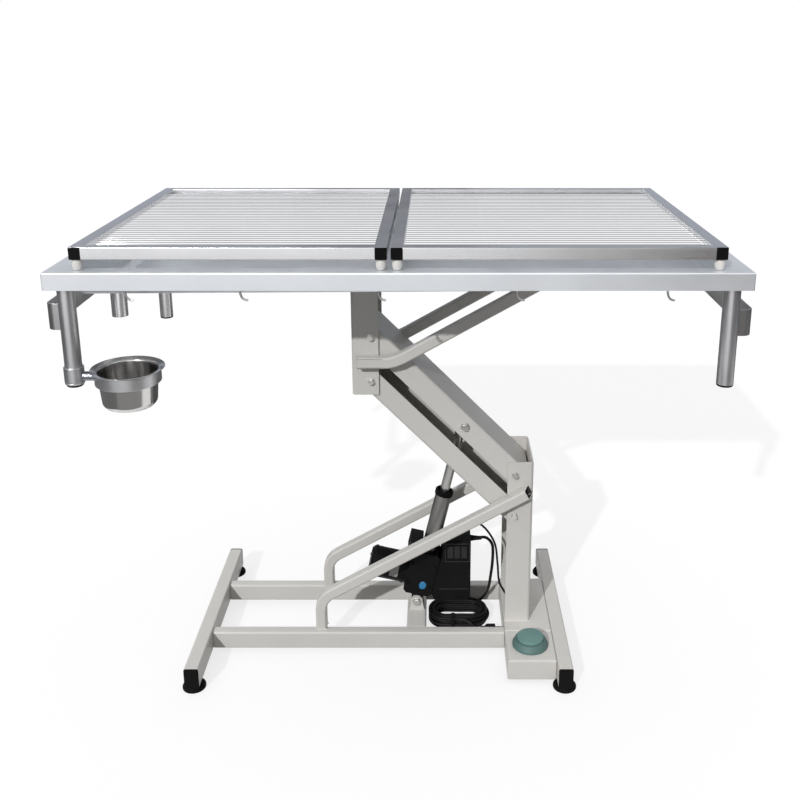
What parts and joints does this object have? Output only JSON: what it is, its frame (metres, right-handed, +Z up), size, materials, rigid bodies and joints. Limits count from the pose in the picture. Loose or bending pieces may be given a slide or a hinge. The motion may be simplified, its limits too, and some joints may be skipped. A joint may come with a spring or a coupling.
{
  "type": "veterinary surgery table",
  "caption": "Stainless tray table with lift-out grilles, drain and bowl holder, raised by an electric parallel-arm lift on a steel floor frame.",
  "frame": {"origin": "on the floor under the middle of the whole object's box, cords left out", "axes": "+X along the table towards its right end seen from the foot switch's side, +Y from that side to the rear, +Z up"},
  "size_m": [1.334, 0.739, 1.0126],
  "materials": {
    "stainless": "brushed stainless steel",
    "paint": "satin off-white powder coat",
    "bolt": "zinc plated",
    "rod": "polished",
    "tube": "satin anodised",
    "black_plastic": "fine moulded texture",
    "cord": "smooth cord sheath",
    "rubber": "matt black rubber",
    "bumper": "natural rubber",
    "switch_green": "matt green rubber"
  },
  "bodies": {
    "base": {"beam_left": "paint", "beam_right": "paint", "beam_cap_left_front": "rubber", "beam_cap_left_rear": "rubber", "beam_cap_right_front": "rubber", "beam_cap_right_rear": "rubber", "foot_left_front": "rubber", "foot_left_rear": "rubber", "foot_right_front": "rubber", "foot_right_rear": "rubber", "rail_front": "paint", "rail_rear": "paint", "lower_brace_front": "paint", "lower_brace_rear": "paint", "column_base": "paint", "switch_box": "paint", "actuator_mount": "paint", "lower_column": "paint", "bolt_lower_a": "bolt", "bolt_lower_b": "bolt", "bolt_actuator_foot": "bolt", "switch_flange": "switch_green", "switch_lead": "cord", "mains_lead": "cord", "mains_hank": "cord", "mains_plug": "cord"},
    "switch_cap": {"switch_cap": "switch_green"},
    "upper_arm": {"upper_arm": "paint", "bolt_actuator_rod": "bolt"},
    "lower_arm": {"lower_arm": "paint"},
    "actuator_body": {"actuator_housing": "black_plastic", "actuator_tube": "tube", "control_box": "black_plastic"},
    "actuator_rod": {"actuator_rod": "rod"},
    "table": {"tray": "stainless", "drain_pipe": "stainless", "underframe": "paint", "upper_column": "paint", "upper_brace_front": "paint", "upper_brace_rear": "paint", "handle_left": "stainless", "handle_right": "stainless", "post_front_left": "stainless", "post_front_right": "stainless", "post_rear_left": "stainless", "post_rear_right": "stainless", "bolt_upper_a": "bolt", "bolt_upper_b": "bolt"},
    "grille_left": {"grille_left": "stainless", "bumper_left_outer_front": "bumper", "bumper_left_inner_front": "bumper", "bumper_left_outer_rear": "bumper", "bumper_left_inner_rear": "bumper"},
    "grille_right": {"grille_right": "stainless", "bumper_right_outer_front": "bumper", "bumper_right_inner_front": "bumper", "bumper_right_outer_rear": "bumper", "bumper_right_inner_rear": "bumper"},
    "bowl_holder": {"bowl_holder": "stainless"},
    "bowl": {"bowl": "stainless"}
  },
  "joints": [
    {"name": "lift", "type": "hinge", "parent": "base", "child": "upper_arm", "pos_m": [0.246, 0.0195, 0.432], "axis": [0, 1, 0], "range_deg": [-37.5, 4.5]},
    {"name": "lower_arm_swing", "type": "hinge", "parent": "base", "child": "lower_arm", "pos_m": [0.246, 0.0195, 0.3315], "axis": [0, 1, 0], "range_deg": [-38, 5]},
    {"name": "table_level", "type": "hinge", "parent": "upper_arm", "child": "table", "pos_m": [-0.07221, 0.0195, 0.75582], "axis": [0, 1, 0], "range_deg": [-5, 38]},
    {"name": "actuator_tilt", "type": "hinge", "parent": "base", "child": "actuator_body", "pos_m": [0.0231, 0.0195, 0.078], "axis": [0, 1, 0], "range_deg": [-4.5, 0.8], "deforming": ["switch_lead", "mains_lead"]},
    {"name": "rod_pin", "type": "hinge", "parent": "upper_arm", "child": "actuator_rod", "pos_m": [0.13315, 0.0195, 0.54683], "axis": [0, 1, 0], "range_deg": [-4.3, 34]},
    {"name": "foot_switch", "type": "slide", "parent": "base", "child": "switch_cap", "axis": [0, 0, -1], "range_m": [0, 0.006], "stiffness_N_per_m": 1500, "springref_m": -0.002},
    {"name": "grille_left_lift", "type": "slide", "parent": "table", "child": "grille_left", "axis": [0, 0, 1], "range_m": [0, 0.12]},
    {"name": "grille_right_lift", "type": "slide", "parent": "table", "child": "grille_right", "axis": [0, 0, 1], "range_m": [0, 0.12]},
    {"name": "bowl_swing", "type": "hinge", "parent": "table", "child": "bowl_holder", "pos_m": [-0.618, -0.3005, 0.7588], "axis": [0, 0, 1], "continuous": true},
    {"name": "bowl_lift", "type": "slide", "parent": "bowl_holder", "child": "bowl", "axis": [0, 0, 1], "range_m": [0, 0.066]}
  ],
  "couplings": [
    {"joint": "lower_arm_swing", "follows": "lift", "ratio": 1},
    {"joint": "table_level", "follows": "lift", "ratio": -1},
    {"joint": "actuator_tilt", "follows": "lift", "ratio": 0.112},
    {"joint": "rod_pin", "follows": "lift", "ratio": -0.888}
  ]
}
